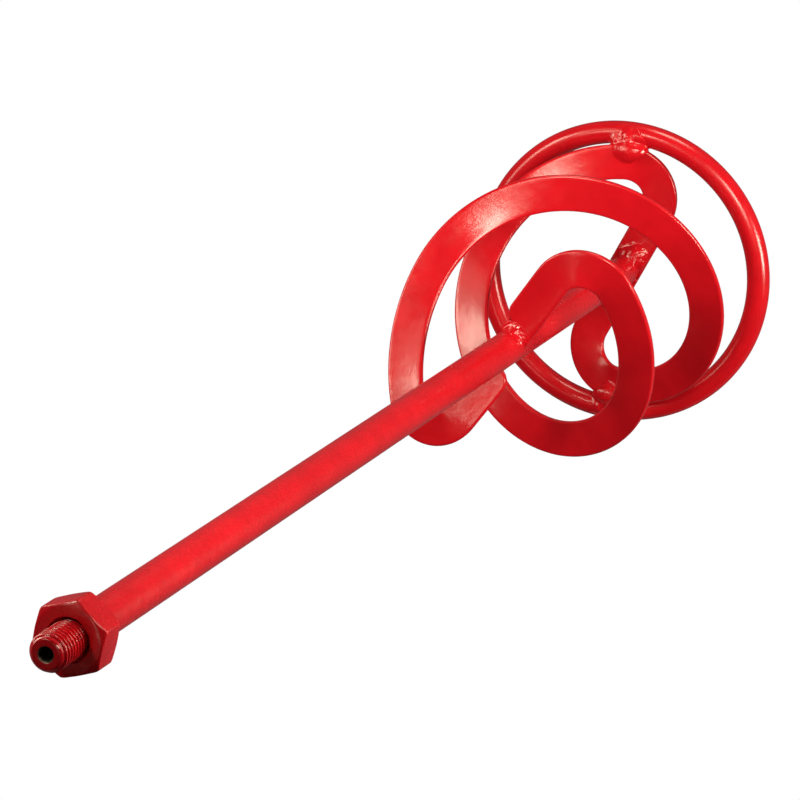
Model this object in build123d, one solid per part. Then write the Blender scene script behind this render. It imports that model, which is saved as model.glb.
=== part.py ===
from build123d import *
import math
import os

# Mortar mixing paddle: a round shaft with a threaded drive end and a hexagon,
# two flat-bar spiral blades half a turn apart and a floor ring, welded together.
# Frame: origin on the shaft's axis at the underside of the ring, +Z up to the thread.

# overall, with the ring measured over its powder coat
OVERALL_LENGTH = 600.0
RING_OUTER_DIAMETER = 140.4
RING_BAR_DIAMETER = 10.4
RING_RADIUS = (RING_OUTER_DIAMETER - RING_BAR_DIAMETER) / 2

# shaft, measured over its powder coat, and its M14 x 2 thread
SHAFT_DIAMETER = 14.3
THREAD_DIAMETER = 13.8
THREAD_PITCH = 2.0
THREAD_DEPTH = 1.15
THREAD_CREST = 0.5
THREAD_ROOT = 0.35
THREAD_LENGTH = 18.0
THREAD_LEAD_IN = 1.7
CENTRE_HOLE_DIAMETER = 5.0
CENTRE_HOLE_DEPTH = 22.0
CENTRE_HOLE_CHAMFER = 0.45

# drive hexagon, a nut-like collar round the shaft
HEX_ACROSS_FLATS = 25.0
HEX_THICKNESS = 12.5
HEX_FRONT_Z = OVERALL_LENGTH - 16.0
HEX_CORNER_ANGLE = 40.0
HEX_FACE_DIAMETER = 23.8
HEX_CHAMFER_ANGLE = 30.0
HEX_CHAMFER_CROWN = 0.1
HEX_MOUTH_DIAMETER = 15.8
HEX_MOUTH_DEPTH = 2.0

# flat bar of the spiral blades: seen from above, each starts under the shaft, runs
# straight out, and is then bent to the left; every bend is (radius, turn in degrees)
BAR_WIDTH = 16.0
BAR_THICKNESS = 3.0
BAR_EDGE_CHAMFER = 0.6
BLADE_HEADING = 25.4
FOOT_LEG = 31.4
BENDS = ((16.6, 116.0), (53.5, 178.1), (51.4, 74.7), (70.1, 41.0), (14.6, 122.0))
TOP_LEG = 32.1
TOP_END_ANGLE = 2.0
FOOT_Z = 1.9
RISE_PER_LENGTH = 0.53
FALL_PER_LENGTH = 0.15
RISE_BEGINS = (13.2, 95.5)
RISE_ENDS = (342.0, 385.0)
BLADE_STEP = 6.0

# weld beads, each a short row of overlapping drops
TOP_WELD_RADIUS = 3.6
TOP_WELD_RUN = 9.0
TOP_WELD_ANGLE = 24.0
TOP_WELD_DROPS = 5
RING_WELD_RADIUS = 5.4
RING_WELD_RUN = 9.0
RING_WELD_OUTSET = 0.6
RING_WELD_FORWARD = 6.8
RING_WELD_TRIM = 0.7
RING_WELD_DROPS = 4
FOOT_WELD_RADIUS = 4.2
FOOT_WELD_RING_RADIUS = 6.8
FOOT_WELD_ANGLE = 110.0
FOOT_WELD_DROPS = 5
FOOT_WELD_MARGIN = 0.5
HEX_WELD_WIDTH = 1.6
RING_SEAM_HEIGHT = 0.5
RING_SEAM_WIDTH = 2.4
RING_SEAM_ANGLE = 138.0

# pieces stop this far short of each other where a weld bridges the joint
JOINT_GAP = 0.05


def polar(radius, angle, z=0.0):
    """A point at a radius and an angle round the shaft's axis."""
    return Vector(radius * math.cos(math.radians(angle)), radius * math.sin(math.radians(angle)), z)


def eased_length(length, begins, ends):
    """Length travelled at full slope when the slope grows smoothly between two stations."""
    run = ends - begins
    u = min(max((length - begins) / run, 0.0), 1.0)
    return run * (u**3 - u**4 / 2) + max(0.0, length - ends)


def blade_height(length):
    """Height of the bar's middle after a length along its plan line."""
    past_top = eased_length(length, *RISE_ENDS)
    rising = eased_length(length, *RISE_BEGINS) - past_top
    return FOOT_Z + RISE_PER_LENGTH * rising - FALL_PER_LENGTH * past_top


def blade_stations():
    """Centre line of one blade: (point, level normal to its outer edge, height slope)."""
    runs = [(None, FOOT_LEG)]
    runs += [(radius, radius * math.radians(turn)) for radius, turn in BENDS]
    runs += [(None, TOP_LEG)]
    stations = []
    x, y = 0.0, 0.0
    heading = math.radians(BLADE_HEADING)
    travelled = 0.0
    for radius, run in runs:
        steps = max(2, round(run / BLADE_STEP))
        first = 0 if radius is None and travelled == 0.0 else 1
        for i in range(first, steps + 1):
            s = run * i / steps
            if radius is None:
                px = x + s * math.cos(heading)
                py = y + s * math.sin(heading)
                turned = heading
            else:
                turned = heading + s / radius
                px = x + radius * (math.sin(turned) - math.sin(heading))
                py = y - radius * (math.cos(turned) - math.cos(heading))
            length = travelled + s
            slope = blade_height(length + 0.5) - blade_height(length - 0.5)
            point = Vector(px, py, blade_height(length))
            normal = Vector(math.sin(turned), -math.cos(turned), 0)
            stations.append((point, normal, math.atan(slope)))
        x, y, heading = px, py, turned
        travelled += run
    return stations


def bar_section(point, normal, climb):
    """Corners of the bar's chamfered section at one station, outer upper corner first."""
    along = Vector(-normal.Y, normal.X, 0)
    up = Vector(0, 0, 1) * math.cos(climb) - along * math.sin(climb)
    half_width = BAR_WIDTH / 2
    half_thickness = BAR_THICKNESS / 2
    c = BAR_EDGE_CHAMFER
    corners = []
    for side, face in ((1, 1), (1, -1), (-1, -1), (-1, 1)):
        on_edge = (side * half_width, face * (half_thickness - c))
        on_face = (side * (half_width - c), face * half_thickness)
        pair = (on_face, on_edge) if side == face else (on_edge, on_face)
        corners += [point + normal * across + up * high for across, high in pair]
    return corners


def slid_to_shaft(corner, along):
    """A corner of the last section, slid along the bar until the end lies flat against the shaft."""
    facing = polar(1, TOP_END_ANGLE)
    spare = corner.dot(facing) - (SHAFT_DIAMETER / 2 + JOINT_GAP)
    return corner - along * (spare / along.dot(facing))


def make_blade():
    """One spiral blade, from its foot under the shaft to its top end beside the shaft."""
    stations = blade_stations()
    sections = [bar_section(*station) for station in stations]
    end_direction = (stations[-1][0] - stations[-2][0]).normalized()
    sections[-1] = [slid_to_shaft(corner, end_direction) for corner in sections[-1]]
    rails = [Spline([section[k] for section in sections]) for k in range(8)]
    skins = [Face.make_surface_from_curves(rails[k].edge(), rails[(k + 1) % 8].edge()) for k in range(8)]
    ends = [Face(Wire.make_polygon(section, close=True)) for section in (sections[0], sections[-1])]
    return Solid(Shell(skins + ends))


def half_turn(shape):
    """The same shape on the other side of the shaft."""
    return Rot(0, 0, 180) * shape


def make_shaft():
    """Round bar with the turned, threaded end and its centre hole, in one piece."""
    foot_top = FOOT_Z + BAR_THICKNESS / 2
    thread_start = OVERALL_LENGTH - THREAD_LENGTH
    shaft_radius = SHAFT_DIAMETER / 2
    crest_radius = THREAD_DIAMETER / 2
    with BuildPart() as shaft:
        with BuildSketch(Plane.XZ):
            with BuildLine():
                Polyline(
                    (0, foot_top + JOINT_GAP),
                    (shaft_radius, foot_top + JOINT_GAP),
                    (shaft_radius, thread_start),
                    (crest_radius, thread_start),
                    (crest_radius, OVERALL_LENGTH - THREAD_LEAD_IN),
                    (crest_radius - THREAD_LEAD_IN, OVERALL_LENGTH),
                    (0, OVERALL_LENGTH),
                    close=True,
                )
            make_face()
        revolve(axis=Axis.Z)
    groove = thread_groove(thread_start, crest_radius)
    hole_radius = CENTRE_HOLE_DIAMETER / 2
    drill_tip = hole_radius / math.tan(math.radians(59))
    hole_bottom = OVERALL_LENGTH - CENTRE_HOLE_DEPTH
    drill = Pos(0, 0, hole_bottom) * Cylinder(
        hole_radius, CENTRE_HOLE_DEPTH, align=(Align.CENTER, Align.CENTER, Align.MIN)
    )
    drill += Pos(0, 0, hole_bottom - drill_tip / 2) * Cone(0.01, hole_radius, drill_tip)
    countersink = Pos(0, 0, OVERALL_LENGTH - CENTRE_HOLE_CHAMFER / 2) * Cone(
        hole_radius, hole_radius + CENTRE_HOLE_CHAMFER, CENTRE_HOLE_CHAMFER
    )
    return shaft.part - groove - drill - countersink


def thread_groove(start, crest_radius):
    """Helical groove that leaves the thread's crests, from the shoulder out past the tip."""
    turns_height = THREAD_LENGTH + THREAD_PITCH
    helix = Pos(0, 0, start + THREAD_PITCH / 2) * Helix(
        pitch=THREAD_PITCH, height=turns_height, radius=crest_radius
    )
    half_mouth = (THREAD_PITCH - THREAD_CREST) / 2
    half_root = THREAD_ROOT / 2
    outside = 0.4
    flank = (half_mouth - half_root) / THREAD_DEPTH
    profile_plane = Plane(origin=helix @ 0, x_dir=(1, 0, 0), z_dir=helix % 0)
    profile = profile_plane * make_face(
        Polyline(
            (-THREAD_DEPTH, -half_root),
            (outside, -half_mouth - flank * outside),
            (outside, half_mouth + flank * outside),
            (-THREAD_DEPTH, half_root),
            close=True,
        )
    )
    return sweep(profile, path=helix, is_frenet=True)


def make_hexagon():
    """Nut-like hexagon with rounded-off corners and a recessed mouth round the thread."""
    back = HEX_FRONT_Z - HEX_THICKNESS
    prism = extrude(
        Rot(0, 0, HEX_CORNER_ANGLE) * RegularPolygon(HEX_ACROSS_FLATS / 2, 6, major_radius=False),
        HEX_THICKNESS,
    )
    corner_radius = HEX_ACROSS_FLATS / 2 / math.cos(math.radians(30))
    face_radius = HEX_FACE_DIAMETER / 2
    outside = corner_radius + 1
    drop = (outside - face_radius) * math.tan(math.radians(HEX_CHAMFER_ANGLE))
    crown = ((face_radius + outside) / 2 + HEX_CHAMFER_CROWN, drop / 2 - HEX_CHAMFER_CROWN)
    outline = [
        Line((0, 0), (face_radius, 0)),
        ThreePointArc((face_radius, 0), crown, (outside, drop)),
        Line((outside, drop), (outside, HEX_THICKNESS - drop)),
        ThreePointArc(
            (outside, HEX_THICKNESS - drop), (crown[0], HEX_THICKNESS - crown[1]), (face_radius, HEX_THICKNESS)
        ),
        Line((face_radius, HEX_THICKNESS), (0, HEX_THICKNESS)),
        Line((0, HEX_THICKNESS), (0, 0)),
    ]
    rounding = revolve(Plane.XZ * make_face(outline), Axis.Z)
    bore = Cylinder(
        SHAFT_DIAMETER / 2 + JOINT_GAP, 3 * HEX_THICKNESS, align=(Align.CENTER, Align.CENTER, Align.CENTER)
    )
    mouth = Pos(0, 0, HEX_THICKNESS - HEX_MOUTH_DEPTH) * Cylinder(
        HEX_MOUTH_DIAMETER / 2, HEX_MOUTH_DEPTH + 1, align=(Align.CENTER, Align.CENTER, Align.MIN)
    )
    return Pos(0, 0, back) * ((prism & rounding) - bore - mouth)


def make_ring():
    """Floor ring of round bar."""
    return Pos(0, 0, RING_BAR_DIAMETER / 2) * Torus(RING_RADIUS, RING_BAR_DIAMETER / 2)


def weld_row(start, end, radius, drops):
    """A row of overlapping drops of weld metal between two points."""
    row = Part()
    for i in range(drops):
        drop = Sphere(radius * (0.94 if i % 2 else 1.0))
        row += Pos(*(start + (end - start) * (i / (drops - 1)))) * drop
    return row


def bar_block(station, length, clearance=JOINT_GAP):
    """Straight block with the bar's section at one station, for trimming a weld bead."""
    point, normal, climb = station
    along = Vector(-normal.Y, normal.X, 0) * math.cos(climb) + Vector(0, 0, math.sin(climb))
    place = Plane(origin=point, x_dir=along, z_dir=normal.cross(along) * -1)
    return place * Box(length, BAR_WIDTH + 2 * clearance, BAR_THICKNESS + 2 * clearance)


def shaft_core():
    """Plain cylinder of the shaft's size, for trimming a weld bead."""
    return Cylinder(SHAFT_DIAMETER / 2, OVERALL_LENGTH, align=(Align.CENTER, Align.CENTER, Align.MIN))


def make_top_weld():
    """Bead across the blade's top end, laid in the corner against the shaft."""
    last = blade_stations()[-1]
    end_height = last[0].Z + BAR_THICKNESS / 2
    middle = polar(SHAFT_DIAMETER / 2 + 1.4, TOP_WELD_ANGLE, end_height)
    reach = polar(TOP_WELD_RUN / 2 - TOP_WELD_RADIUS / 2, TOP_END_ANGLE + 90)
    row = weld_row(middle + reach, middle - reach, TOP_WELD_RADIUS, TOP_WELD_DROPS)
    return row - bar_block(last, 2 * TOP_LEG) - shaft_core()


def edge_gap(station):
    """Distance from a blade's outer edge to the middle of the ring's bar."""
    edge = station[0] + station[1] * (BAR_WIDTH / 2)
    return math.hypot(math.hypot(edge.X, edge.Y) - RING_RADIUS, edge.Z - RING_BAR_DIAMETER / 2)


def make_ring_weld(ring):
    """Lump of weld between a blade's outer edge and the ring, just past where they are closest."""
    stations = blade_stations()
    nearest = min(stations, key=edge_gap)
    past = nearest[0] + Vector(-nearest[1].Y, nearest[1].X, 0) * RING_WELD_FORWARD
    beside = min(stations, key=lambda station: (station[0] - past).length)
    point, normal, _ = beside
    middle = point + normal * (BAR_WIDTH / 2 + RING_WELD_OUTSET)
    reach = Vector(-normal.Y, normal.X, 0) * (RING_WELD_RUN / 2 - RING_WELD_RADIUS / 2)
    row = weld_row(middle - reach, middle + reach, RING_WELD_RADIUS, RING_WELD_DROPS)
    return row - ring - bar_block(beside, 6 * RING_WELD_RADIUS, RING_WELD_TRIM)


def make_foot_weld():
    """Bead on the blade's foot, laid round one side of the shaft's lower end."""
    foot_top = FOOT_Z + BAR_THICKNESS / 2
    row = Part()
    for i in range(FOOT_WELD_DROPS):
        angle = BLADE_HEADING + FOOT_WELD_ANGLE * (i / (FOOT_WELD_DROPS - 1) - 0.5)
        row += Pos(*polar(FOOT_WELD_RING_RADIUS, angle, foot_top)) * Sphere(FOOT_WELD_RADIUS)
    width = BAR_WIDTH - 2 * FOOT_WELD_MARGIN
    on_foot = Rot(0, 0, BLADE_HEADING) * Box(80, width, 80, align=(Align.MIN, Align.CENTER, Align.CENTER))
    return (row & on_foot) - shaft_core() - below(foot_top + JOINT_GAP)


def below(height):
    """Everything under a level, for trimming."""
    return Pos(0, 0, height) * Box(80, 80, 40, align=(Align.CENTER, Align.CENTER, Align.MAX))


def make_hex_weld():
    """Fillet weld all round the shaft behind the hexagon."""
    back = HEX_FRONT_Z - HEX_THICKNESS
    shaft_radius = SHAFT_DIAMETER / 2
    profile = make_face(
        Polyline(
            (shaft_radius, back),
            (shaft_radius + HEX_WELD_WIDTH, back),
            (shaft_radius, back - HEX_WELD_WIDTH),
            close=True,
        )
    )
    return revolve(Plane.XZ * profile, Axis.Z)


def make_ring_seam():
    """Raised band where the ring's two bar ends are butt welded."""
    bar_radius = RING_BAR_DIAMETER / 2
    height = RING_SEAM_HEIGHT
    seam = Pos(RING_RADIUS, 0, bar_radius) * Rot(90, 0, 0) * Cylinder(bar_radius + height, RING_SEAM_WIDTH)
    seam = seam & Pos(RING_RADIUS, 0, bar_radius) * Box(40, 20, 2 * bar_radius)
    return Rot(0, 0, RING_SEAM_ANGLE) * (seam - make_ring())


def only_solid(shape):
    """The largest solid of a cut shape, without stray slivers."""
    return max(shape.solids(), key=lambda solid: solid.volume)


os.makedirs("parts", exist_ok=True)

shaft = only_solid(make_shaft())
ring = only_solid(make_ring())
blade = make_blade()
top_weld = only_solid(make_top_weld())
ring_weld = only_solid(make_ring_weld(ring))
foot_weld = only_solid(make_foot_weld())

pieces = {
    "shaft": shaft,
    "drive_hexagon": only_solid(make_hexagon()),
    "floor_ring": ring,
    "blade_a": blade,
    "blade_b": half_turn(blade),
    "blade_a_top_weld": top_weld,
    "blade_b_top_weld": half_turn(top_weld),
    "blade_a_ring_weld": ring_weld,
    "blade_b_ring_weld": half_turn(ring_weld),
    "blade_a_foot_weld": foot_weld,
    "blade_b_foot_weld": half_turn(foot_weld),
    "hexagon_weld": only_solid(make_hex_weld()),
    "ring_seam_weld": only_solid(make_ring_seam()),
}

for name, piece in pieces.items():
    export_step(piece, f"parts/{name}.step")
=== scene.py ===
import math

import bpy
import numpy as np
from mathutils import Matrix, Vector


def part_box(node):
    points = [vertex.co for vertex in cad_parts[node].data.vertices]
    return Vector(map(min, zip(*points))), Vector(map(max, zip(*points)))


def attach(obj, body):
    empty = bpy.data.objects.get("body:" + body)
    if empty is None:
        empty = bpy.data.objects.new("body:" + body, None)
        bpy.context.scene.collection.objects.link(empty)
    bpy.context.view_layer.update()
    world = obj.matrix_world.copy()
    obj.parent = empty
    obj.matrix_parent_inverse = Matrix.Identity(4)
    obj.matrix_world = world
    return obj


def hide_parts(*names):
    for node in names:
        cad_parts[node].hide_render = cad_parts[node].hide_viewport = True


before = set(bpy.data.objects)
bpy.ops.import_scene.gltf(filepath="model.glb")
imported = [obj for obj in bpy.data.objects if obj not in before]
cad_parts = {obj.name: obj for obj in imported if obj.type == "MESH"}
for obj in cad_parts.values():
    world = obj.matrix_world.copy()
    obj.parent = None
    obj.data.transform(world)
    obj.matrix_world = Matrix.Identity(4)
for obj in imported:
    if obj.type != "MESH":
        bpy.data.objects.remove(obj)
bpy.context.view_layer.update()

MM = 0.001

# Sizes of pieces are in millimetres, and model.glb gives the ones that a node's box shows.
# Places and sizes of the camera, the lights, the flags and the floor are in metres.
SHAFT_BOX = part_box("shaft")
RING_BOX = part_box("floor_ring")
HEX_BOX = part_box("drive_hexagon")
SHAFT_RADIUS = (SHAFT_BOX[1][0] - SHAFT_BOX[0][0]) / 2 / MM
SHAFT_FOOT = SHAFT_BOX[0][2] / MM
TIP = SHAFT_BOX[1][2] / MM
RING_BAR_RADIUS = (RING_BOX[1][2] - RING_BOX[0][2]) / 2 / MM
RING_RADIUS = (RING_BOX[1][0] - RING_BOX[0][0]) / 2 / MM - RING_BAR_RADIUS
HEX_FRONT = HEX_BOX[1][2] / MM
HEX_BACK = HEX_BOX[0][2] / MM

# thread, hexagon and bar as the CAD model has them
THREAD_RADIUS = 6.9
THREAD_PITCH = 2.0
THREAD_DEPTH = 1.15
THREAD_LENGTH = 18.0
THREAD_LEAD_IN = 1.7
CENTRE_HOLE_RADIUS = 2.5
CENTRE_HOLE_DEPTH = 22.0
CENTRE_HOLE_CHAMFER = 0.45
HEX_ACROSS_FLATS = 25.0
HEX_CORNER_ANGLE = 40.0
HEX_FACE_RADIUS = 11.9
HEX_CHAMFER_ANGLE = 30.0
HEX_BORE_RADIUS = 7.2
HEX_MOUTH_RADIUS = 7.9
HEX_MOUTH_DEPTH = 2.0
BAR_WIDTH = 16.0
BAR_THICKNESS = 3.0
BLADE_HEADING = 25.4
FOOT_LEG = 31.4
BENDS = ((16.6, 116.0), (53.5, 178.1), (51.4, 74.7), (70.1, 41.0), (14.6, 122.0))
TOP_LEG = 32.1
TOP_END_ANGLE = 2.0
FOOT_Z = 1.9
RISE_PER_LENGTH = 0.53
FALL_PER_LENGTH = 0.15
RISE_BEGINS = (13.2, 95.5)
RISE_ENDS = (342.0, 385.0)
JOINT_GAP = 0.05


# ---------------------------------------------------------------- camera

CAMERA_PLACE = Vector((0.67359, 0.00632, 1.67393))
CAMERA_TARGET = Vector((0.0, 0.00632, 0.27625))
CAMERA_ROLL = math.radians(-123.15)
CAMERA_LENS = 175.86
SENSOR = 36.0
CLIP_END = 50.0


def add_camera():
    """The view that was fitted to the photograph."""
    data = bpy.data.cameras.new("photo_camera")
    data.sensor_width = SENSOR
    data.lens = CAMERA_LENS
    data.clip_end = CLIP_END
    camera = bpy.data.objects.new("photo_camera", data)
    bpy.context.scene.collection.objects.link(camera)
    look = CAMERA_TARGET - CAMERA_PLACE
    turn = look.to_track_quat("-Z", "Y").to_matrix().to_4x4()
    roll = Matrix.Rotation(CAMERA_ROLL, 4, "Z")
    camera.matrix_world = Matrix.Translation(CAMERA_PLACE) @ turn @ roll
    bpy.context.scene.camera = camera


# ---------------------------------------------------------------- lights

AIM = Vector((0.0, 0.0, 0.15))
THREAD_AIM = Vector((0.0, 0.0, 0.59))
DRIVE_END_AIM = Vector((0.0, 0.0, 0.75))
KEY_PLACE = (1.09, 0.0, 1.42)
LEFT_HIGH_PLACE = (-0.12, 0.71, 1.66)
WARM_WHITE = (1.0, 0.94, 0.76)
LARGE, SMALL = 0.42, 0.20
THREAD_LIGHT_SIZE = 0.08
DRIVE_END_LIGHT_SIZE = 0.10


def softbox(name, place, size, watts, aim=AIM, glint=True):
    """A square soft light, turned towards aim; glint is whether glossy surfaces show it."""
    data = bpy.data.lights.new(name, "AREA")
    data.shape = "SQUARE"
    data.size = size
    data.energy = watts
    data.color = WARM_WHITE
    light = bpy.data.objects.new(name, data)
    bpy.context.scene.collection.objects.link(light)
    place = Vector(place)
    turn = (aim - place).to_track_quat("-Z", "Y").to_matrix().to_4x4()
    light.matrix_world = Matrix.Translation(place) @ turn
    light.visible_camera = False
    light.visible_glossy = glint


def add_lights():
    """Each light's place, size and watts, and what it is turned towards where that isn't AIM."""
    softbox("key", KEY_PLACE, LARGE, 10.0)
    softbox("left_high", LEFT_HIGH_PLACE, LARGE, 4.0)
    softbox("overhead", (-0.24, 0.0, 1.80), SMALL, 1.0)
    softbox("front", (0.35, 0.0, 0.50), SMALL, 0.47)
    softbox("front_close", (0.20, 0.0, 0.50), SMALL, 0.10)
    softbox("right_low", (0.50, -0.30, 0.15), SMALL, 3.3)
    softbox("left_low", (0.50, 0.50, 0.10), SMALL, 1.6)
    softbox("left_close", (0.0, 0.50, 0.50), SMALL, 0.23)
    softbox("left_near", (-0.20, 0.60, 0.50), SMALL, 1.7)
    softbox("left_back", (-0.35, 0.45, 0.45), SMALL, 0.70)
    softbox("thread_side", (0.075, 0.40, 0.88), THREAD_LIGHT_SIZE, 0.9, THREAD_AIM)
    softbox("far_fill", (-1.15, -0.65, 0.05), LARGE, 5.0, glint=False)
    softbox("drive_end", (0.20, -0.04, 0.55), DRIVE_END_LIGHT_SIZE, 0.22, DRIVE_END_AIM)


# ---------------------------------------------------------------- flags, world and floor

BLACK = (0.0, 0.0, 0.0, 1.0)
WHITE = (1.0, 1.0, 1.0, 1.0)
WORLD_GREY = (0.01, 0.01, 0.01, 1.0)
FLAG_DISTANCE = 0.15
KEY_FLAG_SIZE = 0.078
LEFT_HIGH_FLAG_SIZE = 0.085
FLOOR_HALF_SIZE = 12.0
FLOOR_IN_REFLECTIONS = 0.12


def new_material(name):
    """A new material, with its nodes, its links and its shader."""
    material = bpy.data.materials.new(name)
    material.use_nodes = True
    nodes = material.node_tree.nodes
    return material, nodes, material.node_tree.links, nodes["Principled BSDF"]


def level_square(name, half, material):
    """A level square that sends no diffuse light to what is round it."""
    mesh = bpy.data.meshes.new(name)
    corners = [(-half, -half, 0), (half, -half, 0), (half, half, 0), (-half, half, 0)]
    mesh.from_pydata(corners, [], [(0, 1, 2, 3)])
    mesh.materials.append(material)
    square = bpy.data.objects.new(name, mesh)
    bpy.context.scene.collection.objects.link(square)
    square.visible_diffuse = False
    return square


def add_flag(name, light_place, size):
    """A small black card by the drive end that keeps one light off its front, and isn't seen itself."""
    material, _, _, shader = new_material(name)
    shader.inputs["Base Color"].default_value = BLACK
    flag = level_square(name, size / 2, material)
    drive_end = Vector((0.0, 0.0, HEX_FRONT * MM))
    towards = (Vector(light_place) - drive_end).normalized()
    turn = towards.to_track_quat("Z", "Y").to_matrix().to_4x4()
    flag.matrix_world = Matrix.Translation(drive_end + towards * FLAG_DISTANCE) @ turn
    flag.visible_camera = False
    flag.visible_glossy = False


def add_flags():
    add_flag("key_flag", KEY_PLACE, KEY_FLAG_SIZE)
    add_flag("left_high_flag", LEFT_HIGH_PLACE, LEFT_HIGH_FLAG_SIZE)


def add_world():
    """White where the camera sees it, and almost no light from it on the paddle."""
    world = bpy.data.worlds.new("studio")
    bpy.context.scene.world = world
    world.use_nodes = True
    nodes, links = world.node_tree.nodes, world.node_tree.links
    nodes.clear()
    path = nodes.new("ShaderNodeLightPath")
    seen = nodes.new("ShaderNodeBackground")
    seen.inputs["Color"].default_value = WHITE
    dim = nodes.new("ShaderNodeBackground")
    dim.inputs["Color"].default_value = WORLD_GREY
    mix = nodes.new("ShaderNodeMixShader")
    out = nodes.new("ShaderNodeOutputWorld")
    links.new(path.outputs["Is Camera Ray"], mix.inputs["Fac"])
    links.new(dim.outputs["Background"], mix.inputs[1])
    links.new(seen.outputs["Background"], mix.inputs[2])
    links.new(mix.outputs["Shader"], out.inputs["Surface"])


def add_floor():
    """A plain white floor, dimmer in reflections than the camera sees it."""
    material, nodes, links, shader = new_material("pale_floor")
    shader.inputs["Base Color"].default_value = BLACK
    shader.inputs["Roughness"].default_value = 1.0
    shader.inputs["Specular IOR Level"].default_value = 0.0
    shader.inputs["Emission Color"].default_value = WHITE
    path = nodes.new("ShaderNodeLightPath")
    strength = nodes.new("ShaderNodeMapRange")
    strength.inputs["To Min"].default_value = FLOOR_IN_REFLECTIONS
    strength.inputs["To Max"].default_value = 1.0
    links.new(path.outputs["Is Camera Ray"], strength.inputs["Value"])
    links.new(strength.outputs["Result"], shader.inputs["Emission Strength"])
    floor = level_square("floor", FLOOR_HALF_SIZE, material)


# ---------------------------------------------------------------- materials

RED = (0.60, 0.0062, 0.0130)
DEEPEST, LIGHTEST = 0.93, 1.05
COLOUR_PATCH = 14.0
COLOUR_FROM, COLOUR_TO = 0.35, 0.65
GLOSS_PATCH = 5.0
GLOSS_FROM, GLOSS_TO = 0.3, 0.7
GLOSS_DRIFT = 0.035
FINE_PEEL_HEIGHT = 0.045
BROAD_PEEL_HEIGHT = 0.10
BROAD_PEEL_SPREAD = 3.4
GRAIN_SIZE = 1.7
GRAIN_HEIGHT = 0.30
STEEL_FEATURES_PER_METRE = 900.0
STEEL_DARK = (0.10, 0.075, 0.055)
STEEL_LIGHT = (0.42, 0.34, 0.27)


def noise_texture(nodes, links, per_metre, detail, rough=0.5):
    """Noise in the piece's own coordinates, with so many features to the metre."""
    where = nodes.new("ShaderNodeTexCoord")
    texture = nodes.new("ShaderNodeTexNoise")
    texture.inputs["Scale"].default_value = per_metre
    texture.inputs["Detail"].default_value = detail
    texture.inputs["Roughness"].default_value = rough
    links.new(where.outputs["Object"], texture.inputs["Vector"])
    return texture.outputs["Fac"]


def colour_ramp(nodes, links, source, low, high, low_colour, high_colour):
    """One colour up to a low value, another from a high one, and a smooth change between."""
    ramp = nodes.new("ShaderNodeValToRGB")
    first, last = ramp.color_ramp.elements
    first.position = low
    first.color = (*low_colour, 1.0)
    last.position = high
    last.color = (*high_colour, 1.0)
    links.new(source, ramp.inputs["Fac"])
    return ramp.outputs["Color"]


def bump(nodes, links, source, strength, height, under=None):
    """A bump of a height in millimetres, laid over another bump's normal."""
    node = nodes.new("ShaderNodeBump")
    node.inputs["Strength"].default_value = strength
    node.inputs["Distance"].default_value = height * MM
    links.new(source, node.inputs["Height"])
    if under:
        links.new(under, node.inputs["Normal"])
    return node.outputs["Normal"]


def powder_coat(name, roughness, peel, peel_size, grain=0.0):
    """Red powder coat: a slight drift of colour and gloss, orange peel, and a rougher grain for welds."""
    material, nodes, links, shader = new_material(name)

    def noise_of(size, detail, rough=0.5):
        return noise_texture(nodes, links, 1.0 / (size * MM), detail, rough)

    deep = tuple(c * DEEPEST for c in RED)
    light = tuple(c * LIGHTEST for c in RED)
    patches = noise_of(COLOUR_PATCH, 3.0)
    colour = colour_ramp(nodes, links, patches, COLOUR_FROM, COLOUR_TO, deep, light)
    links.new(colour, shader.inputs["Base Color"])
    spread = nodes.new("ShaderNodeMapRange")
    spread.inputs["From Min"].default_value = GLOSS_FROM
    spread.inputs["From Max"].default_value = GLOSS_TO
    spread.inputs["To Min"].default_value = roughness - GLOSS_DRIFT
    spread.inputs["To Max"].default_value = roughness + GLOSS_DRIFT
    links.new(noise_of(GLOSS_PATCH, 2.0), spread.inputs["Value"])
    links.new(spread.outputs["Result"], shader.inputs["Roughness"])
    shader.inputs["Specular IOR Level"].default_value = 0.5
    shader.inputs["IOR"].default_value = 1.5

    normal = bump(nodes, links, noise_of(peel_size, 1.5, 0.4), peel, FINE_PEEL_HEIGHT)
    broad = noise_of(peel_size * BROAD_PEEL_SPREAD, 1.0, 0.4)
    normal = bump(nodes, links, broad, peel, BROAD_PEEL_HEIGHT, normal)
    if grain:
        normal = bump(nodes, links, noise_of(GRAIN_SIZE, 1.5), grain, GRAIN_HEIGHT, normal)
    links.new(normal, shader.inputs["Normal"])
    return material


def bare_steel(name):
    """Dark oiled steel inside the centre hole."""
    material, nodes, links, shader = new_material(name)
    shader.inputs["Metallic"].default_value = 1.0
    shader.inputs["Roughness"].default_value = 0.5
    features = noise_texture(nodes, links, STEEL_FEATURES_PER_METRE, 3.0)
    colour = colour_ramp(nodes, links, features, 0.0, 1.0, STEEL_DARK, STEEL_LIGHT)
    links.new(colour, shader.inputs["Base Color"])
    return material


# ---------------------------------------------------------------- mesh helpers

HALF_TURN = np.array([-1, -1, 1])
LATTICE = 32
LATTICE_SHIFT = 1000.0


def add_piece(name, points, faces, materials, nodes):
    """A smooth-shaded piece, given in millimetres, standing for CAD nodes."""
    mesh = bpy.data.meshes.new(name)
    mesh.from_pydata([tuple(p) for p in np.asarray(points) * MM], [], faces)
    mesh.validate()
    mesh.polygons.foreach_set("use_smooth", [True] * len(mesh.polygons))
    for material in materials:
        mesh.materials.append(material)
    piece = bpy.data.objects.new(name, mesh)
    bpy.context.scene.collection.objects.link(piece)
    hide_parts(*nodes)
    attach(piece, "root")
    return piece


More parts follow.
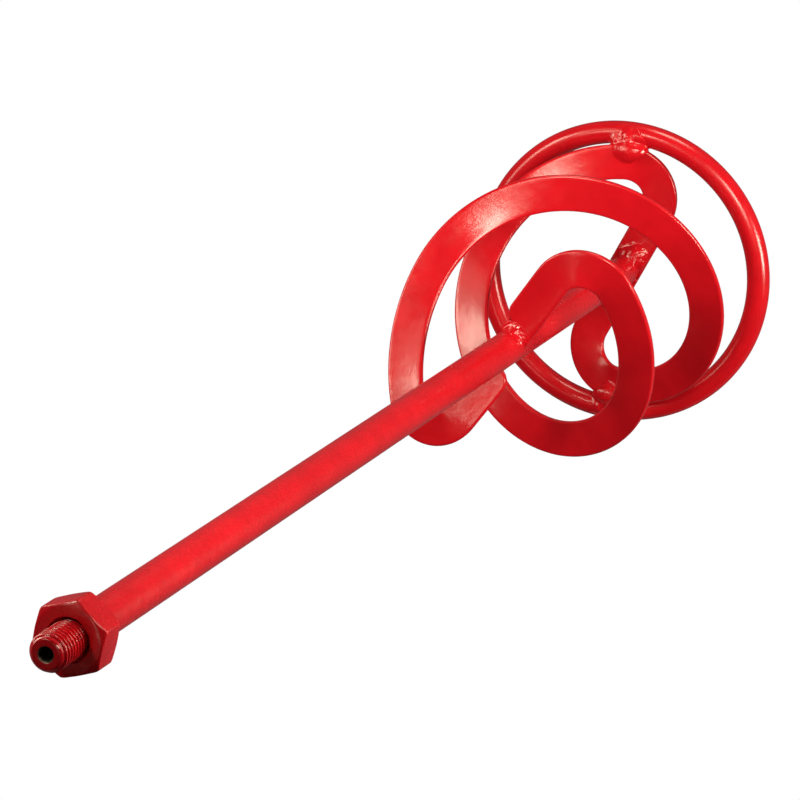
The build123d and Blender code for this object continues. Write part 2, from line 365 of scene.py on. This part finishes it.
def tube_faces(rows, columns, loop=False):
    """Quads of a tube of closed rows of points; loop joins the last row to the first."""
    faces = []
    for r in range(rows if loop else rows - 1):
        a = r * columns
        b = (r + 1) % rows * columns
        for c in range(columns):
            d = (c + 1) % columns
            faces.append((a + c, a + d, b + d, b + c))
    return faces


def end_caps(rows, columns):
    """The two faces that close a tube of rows of points."""
    last = (rows - 1) * columns
    return [tuple(range(columns - 1, -1, -1)), tuple(range(last, last + columns))]


def full_circle(count):
    """Evenly spaced angles all the way round."""
    return np.linspace(0, 2 * math.pi, count, endpoint=False)


def circle_row(radius, height, angles):
    """Points round the shaft's axis; radius and height are numbers, or arrays with one for each angle."""
    heights = np.broadcast_to(height, angles.shape)
    return np.stack([radius * np.cos(angles), radius * np.sin(angles), heights], 1)


def polar(radius, angle, z):
    """A point at a radius, and at an angle in degrees, round the shaft's axis."""
    return (radius * math.cos(math.radians(angle)), radius * math.sin(math.radians(angle)), z)


def smooth_step(x):
    """From 0 to 1 with a level start and end."""
    x = np.clip(x, 0.0, 1.0)
    return x * x * (3 - 2 * x)


def smooth_least(a, b, reach):
    """The lesser of two fields, rounded where they are within reach of each other."""
    h = np.clip(0.5 + 0.5 * (b - a) / reach, 0.0, 1.0)
    return b + (a - b) * h - reach * h * (1 - h)


def lumps(points, size, seed):
    """Smooth lattice noise from -1 to 1 at each point, with features about one size across."""
    table = np.random.default_rng(seed).uniform(-1, 1, (LATTICE, LATTICE, LATTICE))
    q = points / size + LATTICE_SHIFT
    whole = np.floor(q).astype(int)
    part = smooth_step(q - whole)
    total = np.zeros(len(points))
    for corner in range(8):
        step = np.array([corner & 1, corner >> 1 & 1, corner >> 2 & 1])
        weight = np.prod(np.where(step, part, 1 - part), axis=1)
        i, j, k = ((whole + step) % LATTICE).T
        total += weight * table[i, j, k]
    return total


# ---------------------------------------------------------------- blade path, as in the CAD model


def eased_length(length, begins, ends):
    """Length travelled on a slope that starts smoothly between two stations."""
    run = ends - begins
    u = min(max((length - begins) / run, 0.0), 1.0)
    return run * (u**3 - u**4 / 2) + max(0.0, length - ends)


def blade_height(length):
    """Height of the bar's middle after a length along its plan line."""
    past_top = eased_length(length, *RISE_ENDS)
    rising = eased_length(length, *RISE_BEGINS) - past_top
    return FOOT_Z + RISE_PER_LENGTH * rising - FALL_PER_LENGTH * past_top


def blade_stations(spacing):
    """Stations along one blade: its middle, its level normal, and the upward normal of its face."""
    runs = [(None, FOOT_LEG)]
    runs += [(radius, radius * math.radians(turn)) for radius, turn in BENDS]
    runs += [(None, TOP_LEG)]
    middles, normals, uppers = [], [], []
    x, y = 0.0, 0.0
    heading = math.radians(BLADE_HEADING)
    travelled = 0.0
    for radius, run in runs:
        steps = max(2, round(run / spacing))
        for i in range(1 if middles else 0, steps + 1):
            s = run * i / steps
            if radius is None:
                turned = heading
                px = x + s * math.cos(heading)
                py = y + s * math.sin(heading)
            else:
                turned = heading + s / radius
                px = x + radius * (math.sin(turned) - math.sin(heading))
                py = y - radius * (math.cos(turned) - math.cos(heading))
            length = travelled + s
            # the rise over 1 mm of length
            climb = math.atan(blade_height(length + 0.5) - blade_height(length - 0.5))
            normal = np.array([math.sin(turned), -math.cos(turned), 0.0])
            along = np.array([-normal[1], normal[0], 0.0])
            middles.append((px, py, blade_height(length)))
            normals.append(normal)
            uppers.append(np.array([0, 0, math.cos(climb)]) - along * math.sin(climb))
        x, y, heading = px, py, turned
        travelled += run
    return np.array(middles), np.array(normals), np.array(uppers)


# ---------------------------------------------------------------- blades

EDGE_RADIUS = 1.05
END_RADIUS = 7.0
END_SLIDE = 24.0
STATION_SPACING = 1.2
CORNER_STEPS = 6
FACE_STEPS = 10

# waves of the bar's face, each a height, a size and a seed
BROAD_WAVE = (0.05, 9.0, 11)
FINE_WAVE = (0.02, 4.0, 12)


def bar_outline():
    """Rounded outline of the bar's section, as (across, high) points."""
    half_width, half_thickness = BAR_WIDTH / 2, BAR_THICKNESS / 2
    r = EDGE_RADIUS
    points = []
    for k, (sx, sy) in enumerate(((1, 1), (-1, 1), (-1, -1), (1, -1))):
        centre = (sx * (half_width - r), sy * (half_thickness - r))
        for i in range(CORNER_STEPS + 1):
            angle = math.radians(90 * (k + i / CORNER_STEPS))
            points.append((centre[0] + r * math.cos(angle), centre[1] + r * math.sin(angle)))
        if k % 2 == 0:
            for i in range(1, FACE_STEPS):
                points.append((sx * (half_width - r) * (1 - 2 * i / FACE_STEPS), sy * half_thickness))
    return np.array(points)


def fit_end_to_shaft(rows, direction):
    """Slide the last sections along the bar, so that its end lies flat against the shaft.

    It returns the number of the section from which they slide.
    """
    facing = np.array(polar(1.0, TOP_END_ANGLE, 0.0))
    spare = rows[-1] @ facing - (SHAFT_RADIUS + JOINT_GAP)
    end = rows[-1] - np.outer(spare / (direction @ facing), direction)
    first = len(rows) - round(END_SLIDE / STATION_SPACING)
    for i in range(first + 1, len(rows)):
        t = (i - first) / (len(rows) - 1 - first)
        rows[i] = rows[first] * (1 - t) + end * t
    return first


def round_end_corner(rows, first, outline, normal):
    """Draw in the outer half of the last sections, so that the end's outer corner is round."""
    share = np.clip(outline[:, 0] / (BAR_WIDTH / 2 - EDGE_RADIUS), 0.0, 1.0)
    for i in range(first, len(rows)):
        left = np.linalg.norm(rows[-1].mean(0) - rows[i].mean(0))
        inside = max(END_RADIUS - left, 0.0)
        short = END_RADIUS - math.sqrt(max(END_RADIUS**2 - inside**2, 0.0))
        rows[i] = rows[i] - np.outer(share * short, normal)


def make_blade(name, turned, material):
    """One spiral blade, with rounded edges and the slight waves of a bent bar."""
    middles, normals, uppers = blade_stations(STATION_SPACING)
    outline = bar_outline()
    rows = []
    for middle, normal, upper in zip(middles, normals, uppers):
        rows.append(middle + np.outer(outline[:, 0], normal) + np.outer(outline[:, 1], upper))
    direction = middles[-1] - middles[-2]
    direction /= np.linalg.norm(direction)
    first = fit_end_to_shaft(rows, direction)
    round_end_corner(rows, first, outline, normals[-1])
    points = np.concatenate(rows)
    waves = sum(height * lumps(points, size, seed) for height, size, seed in (BROAD_WAVE, FINE_WAVE))
    points += np.repeat(uppers, len(outline), axis=0) * waves[:, None]
    faces = tube_faces(len(rows), len(outline)) + end_caps(len(rows), len(outline))
    if turned:
        points = points * HALF_TURN
    add_piece(f"{name}_bar", points, faces, [material], [name])


# ---------------------------------------------------------------- shaft

THREAD_COLUMNS = 144
THREAD_ROW = 0.1
BAR_ROW = 3.0
CREST_SHARE = 0.30
COATED_DEPTH_SHARE = 0.86
TIP_ROUNDING = 0.5
FOOT_ROUNDING = 0.6
FOOT_STEPS = 4
NEAR_AXIS = 0.01
HOLE_ROWS = 8
DRILL_TIP = 1.5


def thread_radius(angles, z):
    """Radius of the coated thread at each angle: rounded crests and roots, and a chamfered tip."""
    turns = (z - (TIP - THREAD_LENGTH)) / THREAD_PITCH - angles / (2 * math.pi)
    wave = 0.5 + 0.5 * np.cos(2 * math.pi * turns)
    rounded = smooth_step((wave - 0.04) / (0.96 - CREST_SHARE * 0.5))
    ridge = THREAD_RADIUS - THREAD_DEPTH * COATED_DEPTH_SHARE * (1 - rounded)
    lead = THREAD_RADIUS - THREAD_LEAD_IN + (TIP - z)
    return smooth_least(ridge, np.full_like(ridge, lead), TIP_ROUNDING)


def bar_profile(start):
    """Radius and height up the plain bar, from its rounded foot to the shoulder where the thread starts."""
    profile = [(NEAR_AXIS, SHAFT_FOOT), (SHAFT_RADIUS - FOOT_ROUNDING - 0.2, SHAFT_FOOT)]
    for i in range(FOOT_STEPS + 1):
        angle = math.radians(90 * i / FOOT_STEPS)
        inward = FOOT_ROUNDING * (1 - math.sin(angle))
        upward = FOOT_ROUNDING * (1 - math.cos(angle))
        profile.append((SHAFT_RADIUS - inward, SHAFT_FOOT + upward))
    # the straight rows stop short of the rounded foot and of the shoulder
    low, high = SHAFT_FOOT + 1.0, start - 0.6
    steps = round((start - SHAFT_FOOT - 2.0) / BAR_ROW)
    profile += [(SHAFT_RADIUS, low + (high - low) * i / steps) for i in range(steps + 1)]
    return profile + [(SHAFT_RADIUS - 0.05, start - 0.35), (THREAD_RADIUS - 0.1, start - 0.1)]


def thread_profile(start, angles):
    """Radii and height of each row of the thread."""
    # the last row stops just short of the tip, where the flat begins
    length = THREAD_LENGTH - 0.05
    steps = round(length / THREAD_ROW)
    heights = [start + length * i / steps for i in range(steps + 1)]
    return [(thread_radius(angles, z), z) for z in heights]


def tip_profile():
    """Radius and height over the flat tip, to the chamfered mouth of the centre hole."""
    flat = THREAD_RADIUS - THREAD_LEAD_IN
    mouth = CENTRE_HOLE_RADIUS + CENTRE_HOLE_CHAMFER
    profile = [(radius, TIP) for radius in (flat - 0.35, flat - 0.6, (flat + mouth) / 2, mouth + 0.2)]
    return profile + [(mouth, TIP - 0.02)]


def hole_profile():
    """Radius and height down the centre hole."""
    r = CENTRE_HOLE_RADIUS
    profile = [(r + 0.06, TIP - CENTRE_HOLE_CHAMFER + 0.05), (r, TIP - 0.6)]
    profile += [(r, TIP - CENTRE_HOLE_DEPTH * i / HOLE_ROWS) for i in range(1, HOLE_ROWS + 1)]
    return profile + [(2 * NEAR_AXIS, TIP - CENTRE_HOLE_DEPTH - DRILL_TIP)]


def make_shaft(coat, steel, thread_coat):
    """Shaft with its helical thread, flat tip and bare centre hole."""
    angles = full_circle(THREAD_COLUMNS)
    start = TIP - THREAD_LENGTH
    profile = bar_profile(start)
    thread_from = (len(profile) - 2) * THREAD_COLUMNS
    profile += thread_profile(start, angles) + tip_profile()
    bare_from = (len(profile) - 1) * THREAD_COLUMNS
    profile += hole_profile()
    rows = [circle_row(radius, z, angles) for radius, z in profile]
    faces = tube_faces(len(rows), THREAD_COLUMNS) + end_caps(len(rows), THREAD_COLUMNS)
    coats = [coat, steel, thread_coat]
    piece = add_piece("shaft_bar", np.concatenate(rows), faces, coats, ["shaft"])
    for polygon in piece.data.polygons:
        if min(polygon.vertices) >= bare_from:
            polygon.material_index = 1
        elif min(polygon.vertices) >= thread_from:
            polygon.material_index = 2


# ---------------------------------------------------------------- hexagon

HEX_COLUMNS = 360
HEX_EDGE_RADIUS = 0.45
HEX_CHAMFER_BLEND = 1.2
HEX_MOUTH_EDGE = 0.35
HEX_CORNER_CUT = 0.18
HEX_CORNER_REACH = 0.65
LONGEST_STRIP = 2.5


def fillet(before, corner, after, radius, steps=4):
    """Points that round a corner of an outline, for arrays of corners."""
    a, b = before - corner, after - corner
    la, lb = np.linalg.norm(a, axis=-1, keepdims=True), np.linalg.norm(b, axis=-1, keepdims=True)
    a, b = a / la, b / lb
    reach = np.minimum(radius, 0.45 * np.minimum(la, lb))
    p, q = corner + a * reach, corner + b * reach
    return [p * (1 - t) ** 2 + corner * 2 * t * (1 - t) + q * t**2 for t in np.linspace(0, 1, steps + 1)]


def make_hexagon(material):
    """Nut-like hexagon with conical chamfers, rounded edges and a recessed mouth."""
    angles = full_circle(HEX_COLUMNS)
    half = HEX_ACROSS_FLATS / 2
    from_flat = (np.degrees(angles) - HEX_CORNER_ANGLE) % 60 - 30
    flats = half / np.cos(np.radians(from_flat))
    corner = half / math.cos(math.radians(30)) - HEX_CORNER_CUT
    outer = smooth_least(flats, np.full_like(flats, corner), HEX_CORNER_REACH)
    drop = (outer - HEX_FACE_RADIUS) * math.tan(math.radians(HEX_CHAMFER_ANGLE))

    # each corner of the section: its radius, its height and how round it is
    mouth_floor = HEX_FRONT - HEX_MOUTH_DEPTH
    section = [
        (HEX_BORE_RADIUS, mouth_floor, 0.0),
        (HEX_MOUTH_RADIUS, mouth_floor, 0.1),
        (HEX_MOUTH_RADIUS, HEX_FRONT, HEX_MOUTH_EDGE),
        (HEX_FACE_RADIUS, HEX_FRONT, HEX_CHAMFER_BLEND),
        (outer, HEX_FRONT - drop, HEX_EDGE_RADIUS),
        (outer, HEX_BACK + drop, HEX_EDGE_RADIUS),
        (HEX_FACE_RADIUS, HEX_BACK, HEX_CHAMFER_BLEND),
        (HEX_BORE_RADIUS, HEX_BACK, 0.2),
    ]
    corners = []
    for radius, height, _ in section:
        corners.append(np.stack([np.broadcast_to(v, angles.shape) for v in (radius, height)], 1))
    profile = []
    for k, (_, _, rounding) in enumerate(section):
        before, here, after = corners[k - 1], corners[k], corners[(k + 1) % len(corners)]
        profile += fillet(before, here, after, rounding) if rounding else [here]
        gap = after - here
        if np.abs(gap).max() > LONGEST_STRIP:
            profile.append(here + gap * 0.5)
    rows = [circle_row(p[:, 0], p[:, 1], angles) for p in profile]
    faces = [face[::-1] for face in tube_faces(len(rows), HEX_COLUMNS, loop=True)]
    add_piece("hexagon_nut", np.concatenate(rows), faces, [material], ["drive_hexagon"])


# ---------------------------------------------------------------- ring

RING_COLUMNS = 40
RING_ROWS = 320
RING_SEAM_ANGLE = 138.0
RING_SEAM_WIDTH = 2.4
RING_SEAM_HEIGHT = 0.5
SEAM_ROWS = 25
SEAM_RIPPLES = 14
SEAM_RIPPLE_HEIGHT = 0.10
SEAM_OVERLAP = 0.03


def ring_points(angles, radii):
    """Sections of the ring's bar at some angles, each with one bar radius or one for each point."""
    around = full_circle(RING_COLUMNS)
    rows = []
    for angle, radius in zip(angles, radii):
        r = RING_RADIUS + radius * np.cos(around)
        z = RING_BAR_RADIUS + radius * np.sin(around)
        rows.append(np.stack([r * math.cos(angle), r * math.sin(angle), np.maximum(z, 0.0)], 1))
    return np.concatenate(rows)


def make_ring(material):
    points = ring_points(full_circle(RING_ROWS), [RING_BAR_RADIUS] * RING_ROWS)
    faces = tube_faces(RING_ROWS, RING_COLUMNS, loop=True)
    add_piece("ring_bar", points, faces, [material], ["floor_ring"])


def make_ring_seam(material):
    """The low, rippled band where the ring's two ends are welded together."""
    spread = np.linspace(-1, 1, SEAM_ROWS)
    angles = math.radians(RING_SEAM_ANGLE) + spread * (RING_SEAM_WIDTH / 2 / RING_RADIUS)
    around = full_circle(RING_COLUMNS)
    radii = []
    for s in spread:
        crown = 0.9 * RING_SEAM_HEIGHT * (1 - s**2) ** 0.6
        ripple = SEAM_RIPPLE_HEIGHT * np.cos(SEAM_RIPPLES * around + 5 * s * s) * (1 - s**2)
        radii.append(RING_BAR_RADIUS - SEAM_OVERLAP + crown + ripple)
    points = ring_points(angles, radii)
    faces = tube_faces(SEAM_ROWS, RING_COLUMNS) + end_caps(SEAM_ROWS, RING_COLUMNS)
    add_piece("ring_seam_bead", points, faces, [material], ["ring_seam_weld"])


# ---------------------------------------------------------------- welds

WELD_STEP = 0.22
DROP_REACH = 1.6
LUMP_HEIGHT, LUMP_SIZE = 0.22, 2.6
FLECK_HEIGHT, FLECK_SIZE = 0.04, 1.1
RIPPLE_HEIGHT, RIPPLE_LENGTH = 0.06, 2.1
RIPPLE_WANDER, WANDER_SIZE = 1.5, 2.0
RIPPLE_CENTRE = np.array([2.0, -3.0, 4.0])
LIFT_OFF_HOST = 0.03
ROOT_DEPTH = 0.5
SPREAD_SHARE = 0.8
FLAT_REACH = 0.8
ROOM_EDGE = 0.3
NEAR_WELD = 26.0
FIELD_SPACING = 2.0


def surface_net(field, low, step):
    """A quad mesh on the zero level of a sampled field, with one point in each cell it crosses."""
    n = np.array(field.shape) - 1
    offsets = [(i, j, k) for i in (0, 1) for j in (0, 1) for k in (0, 1)]
    stack = np.stack([field[i : n[0] + i, j : n[1] + j, k : n[2] + k] for i, j, k in offsets])
    mixed = (stack.min(0) < 0) & (stack.max(0) >= 0)
    sums = np.zeros(mixed.shape + (3,))
    counts = np.zeros(mixed.shape)
    for a, offset in enumerate(offsets):
        for axis in range(3):
            if offset[axis]:
                continue
            far = list(offset)
            far[axis] = 1
            fa, fb = stack[a], stack[offsets.index(tuple(far))]
            cross = (fa < 0) != (fb < 0)
            place = np.zeros((int(cross.sum()), 3)) + offset
            place[:, axis] += fa[cross] / (fa[cross] - fb[cross])
            sums[cross] += place
            counts[cross] += 1
    cells = np.argwhere(mixed)
    points = low + (cells + sums[mixed] / counts[mixed][:, None]) * step
    index = np.full(mixed.shape, -1)
    index[mixed] = np.arange(len(cells))
    faces = []
    for axis in range(3):
        u, v = (axis + 1) % 3, (axis + 2) % 3
        near, far = [slice(None)] * 3, [slice(None)] * 3
        near[axis], far[axis] = slice(0, -1), slice(1, None)
        fa, fb = field[tuple(near)], field[tuple(far)]
        spots = np.argwhere((fa < 0) != (fb < 0))
        inner = (spots[:, u] > 0) & (spots[:, v] > 0) & (spots[:, u] < n[u]) & (spots[:, v] < n[v])
        spots = spots[inner]
        quad = []
        for du, dv in ((1, 1), (0, 1), (0, 0), (1, 0)):
            cell = spots.copy()
            cell[:, u] -= du
            cell[:, v] -= dv
            quad.append(index[tuple(cell.T)])
        quad = np.stack(quad, 1)
        outward = fa[tuple(spots.T)] < 0
        quad[~outward] = quad[~outward][:, ::-1]
        faces.append(quad)
    return points, [tuple(map(int, face)) for face in np.concatenate(faces)]


def shaft_field(p):
    return np.maximum(np.hypot(p[:, 0], p[:, 1]) - SHAFT_RADIUS, SHAFT_FOOT - p[:, 2])


def ring_field(p):
    across = np.hypot(p[:, 0], p[:, 1]) - RING_RADIUS
    return np.hypot(across, p[:, 2] - RING_BAR_RADIUS) - RING_BAR_RADIUS


def blade_field(p):
    """Distance to blade A's bar, from the nearest of its stations that are near the weld."""
    middles, normals, uppers = blade_stations(FIELD_SPACING)
    close = np.linalg.norm(middles - p.mean(0), axis=1) < NEAR_WELD
    middles, normals, uppers = middles[close], normals[close], uppers[close]
    best = np.full(len(p), np.inf)
    which = np.zeros(len(p), int)
    for i, middle in enumerate(middles):
        d = ((p - middle) ** 2).sum(1)
        nearer = d < best
        best[nearer] = d[nearer]
        which[nearer] = i
    offset = p - middles[which]
    across = np.abs((offset * normals[which]).sum(1)) - (BAR_WIDTH / 2 - EDGE_RADIUS)
    high = np.abs((offset * uppers[which]).sum(1)) - (BAR_THICKNESS / 2 - EDGE_RADIUS)
    outside = np.hypot(np.maximum(across, 0), np.maximum(high, 0))
    return outside + np.minimum(np.maximum(across, high), 0) - EDGE_RADIUS


def drop_field(p, drops):
    """Weld metal as drops that run together, (centre, radius) each."""
    total = None
    for centre, radius in drops:
        d = np.linalg.norm(p - np.asarray(centre), axis=1) - radius
        total = d if total is None else smooth_least(total, d, DROP_REACH)
    return total


def weld_skin(grid, start, seed):
    """Height of a weld's wrinkles: lumps, flecks, and ripples that swirl round its start."""
    swirl = np.linalg.norm(grid - np.asarray(start) - RIPPLE_CENTRE, axis=1)
    wander = RIPPLE_WANDER * lumps(grid, WANDER_SIZE, seed + 2)
    ripple = np.cos(2 * math.pi * swirl / RIPPLE_LENGTH + wander)
    skin = LUMP_HEIGHT * lumps(grid, LUMP_SIZE, seed) + FLECK_HEIGHT * lumps(grid, FLECK_SIZE, seed + 1)
    return skin + RIPPLE_HEIGHT * ripple


def make_weld(name, drops, hosts, blend, seed, material, room, turned, facet=None, wrinkle=1.0, sides=None):
    """A weld bead grown out of the parts it joins, with a wrinkled skin.

    It is shaped at blade A, and turned round for blade B. room limits it, and so does the floor; facet,
    a (normal, depth) pair, flattens its first drop on that side; sides, a (normal, half width) pair,
    keeps it on top of a bar.
    """
    low, high = room
    counts = np.ceil((high - low) / WELD_STEP).astype(int) + 1
    axes = [low[a] + WELD_STEP * np.arange(counts[a]) for a in range(3)]
    grid = np.stack(np.meshgrid(*axes, indexing="ij"), -1).reshape(-1, 3)
    bead = drop_field(grid, drops)
    start, radius = drops[0]
    if facet:
        normal, depth = facet
        over = (grid - np.asarray(start)) @ np.asarray(normal) - (radius - depth)
        bead = -smooth_least(-bead, -over, FLAT_REACH)
    bead += wrinkle * weld_skin(grid, start, seed)
    host = np.minimum.reduce([field(grid) for field in hosts])
    solid = np.maximum(smooth_least(bead, host + LIFT_OFF_HOST, blend), -(host + ROOT_DEPTH))
    solid = np.maximum(solid, bead - SPREAD_SHARE * blend)
    if sides:
        across, half_width = sides
        solid = -smooth_least(-solid, half_width - np.abs(grid @ across), FLAT_REACH)
    edge = np.minimum(grid - low, high - grid).min(1)
    solid = np.maximum(solid, ROOM_EDGE - edge)
    points, faces = surface_net(solid.reshape(counts), low, WELD_STEP)
    if turned:
        points = points * HALF_TURN
    add_piece(f"{name}_bead", points, faces, [material], [name])


def node_room(node, margin):
    """A node's box in millimetres, widened, but not below the floor."""
    low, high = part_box(node)
    low = np.array([v / MM - margin for v in low])
    low[2] = max(low[2], 0.0)
    return low, np.array([v / MM + margin for v in high])


# ---------------------------------------------------------------- weld behind the hexagon

HEX_WELD_WIDTH = 1.6
HEX_WELD_COLUMNS = 306
HEX_WELD_ROWS = 9
HEX_WELD_RIPPLES = 34
HEX_WELD_RIPPLE_HEIGHT = 0.09
HEX_WELD_CROWN = 0.10
HEX_WELD_ROOT = 0.3


def make_hex_weld(material):
    """Rippled fillet all round the shaft behind the hexagon."""
    width = HEX_WELD_WIDTH
    angles = full_circle(HEX_WELD_COLUMNS)
    rows = []
    for s in np.linspace(0, 1, HEX_WELD_ROWS):
        swell = math.sin(math.pi * s)
        ripple = HEX_WELD_RIPPLE_HEIGHT * np.cos(HEX_WELD_RIPPLES * angles + 1.6 * swell) * swell
        raised = (HEX_WELD_CROWN + ripple) * swell
        r = SHAFT_RADIUS - 0.03 + width * (1 - s) * 0.98 + raised
        rows.append(circle_row(r, HEX_BACK + 0.02 - width * s - raised * 0.4, angles))
    for z in (HEX_BACK - width * 0.6, HEX_BACK + 0.1):
        rows.append(circle_row(SHAFT_RADIUS - HEX_WELD_ROOT, z, angles))
    faces = [face[::-1] for face in tube_faces(len(rows), HEX_WELD_COLUMNS, loop=True)]
    add_piece("hexagon_bead", np.concatenate(rows), faces, [material], ["hexagon_weld"])


# ---------------------------------------------------------------- the blades' welds

TOP_ROOM, RING_ROOM, FOOT_ROOM = 2.5, 3.0, 4.5
BLEND, FOOT_BLEND = 1.6, 2.0
RING_WRINKLE = 0.5
SEED_A, SEED_B = 20, 40

# where the weld metal lies at blade A: the centre and the radius of each drop
BLADE_LENGTH = sum(radius * math.radians(turn) for radius, turn in BENDS) + FOOT_LEG + TOP_LEG
TOP_HEIGHT = blade_height(BLADE_LENGTH) + BAR_THICKNESS / 2
FOOT_HEIGHT = FOOT_Z + BAR_THICKNESS / 2
FOOT_ACROSS = blade_stations(FIELD_SPACING)[1][0]
TOP_DROPS_A = [
    (polar(6.0, 24, TOP_HEIGHT - 3.5), 6.5),
    (polar(7.6, -4, TOP_HEIGHT - 1.0), 2.6),
]
TOP_DROPS_B = [
    (polar(6.0, 8, TOP_HEIGHT - 3.7), 5.8),
    (polar(7.6, -10, TOP_HEIGHT - 1.0), 2.6),
]
RING_DROPS = [
    ((37.3, 43.9, 8.8), 5.4),
    ((39.9, 41.7, 8.3), 4.6),
    ((35.2, 45.7, 9.0), 4.8),
    ((40.0, 49.0, 7.5), 4.7),
    ((34.6, 51.2, 8.0), 3.6),
    (polar(64.5, 46.5, 8.6), 2.9),
]
FOOT_DROPS = [
    (polar(8.3, 13.5, FOOT_HEIGHT - 3.0), 7.0),
    (polar(8.0, 50, FOOT_HEIGHT - 0.6), 2.6),
]
TOP_FACET = ((0.533, 0.0, 0.846), 0.3)
FOOT_FACET = ((0.493, 0.0, 0.870), 0.8)
FOOT_SIDES = (FOOT_ACROSS, BAR_WIDTH / 2 - 0.4)


def make_blade_welds(side, turned, seed, flake_coat, dome_coat, weld_coat):
    """One blade's three welds: to the shaft at its top, to the ring, and to the shaft at its foot."""
    at_shaft = [shaft_field, blade_field]
    at_ring = [ring_field, blade_field]
    drops = TOP_DROPS_B if turned else TOP_DROPS_A
    room = node_room("blade_a_top_weld", TOP_ROOM)
    make_weld(f"{side}_top_weld", drops, at_shaft, BLEND, seed, flake_coat, room, turned, TOP_FACET)
    room = node_room("blade_a_ring_weld", RING_ROOM)
    make_weld(
        f"{side}_ring_weld", RING_DROPS, at_ring, BLEND, seed + 5, dome_coat, room, turned,
        wrinkle=RING_WRINKLE
    )
    room = node_room("blade_a_foot_weld", FOOT_ROOM)
    make_weld(
        f"{side}_foot_weld", FOOT_DROPS, at_shaft, FOOT_BLEND, seed + 9, weld_coat, room, turned,
        FOOT_FACET, sides=FOOT_SIDES
    )


# ---------------------------------------------------------------- the object

add_camera()
add_lights()
add_flags()
add_world()
add_floor()

# each coat's roughness, the strength and size of its orange peel, and a weld's grain
shaft_coat = powder_coat("shaft_coat", 0.27, 0.10, 1.6)
blade_coat = powder_coat("blade_coat", 0.21, 0.60, 1.1)
ring_coat = powder_coat("ring_coat", 0.22, 0.12, 1.6)
weld_coat = powder_coat("weld_coat", 0.13, 0.3, 1.1, 0.5)
flake_coat = powder_coat("flake_coat", 0.12, 0.3, 1.1, 1.0)
dome_coat = powder_coat("dome_coat", 0.20, 0.3, 1.6, 0.10)
hole_steel = bare_steel("hole_steel")
thread_coat = powder_coat("thread_coat", 0.19, 0.06, 1.6)

make_shaft(shaft_coat, hole_steel, thread_coat)
make_hexagon(shaft_coat)
make_ring(ring_coat)
make_ring_seam(ring_coat)
make_hex_weld(shaft_coat)
make_blade("blade_a", False, blade_coat)
make_blade("blade_b", True, blade_coat)
make_blade_welds("blade_a", False, SEED_A, flake_coat, dome_coat, weld_coat)
make_blade_welds("blade_b", True, SEED_B, flake_coat, dome_coat, weld_coat)

bpy.context.scene.view_settings.view_transform = "Standard"
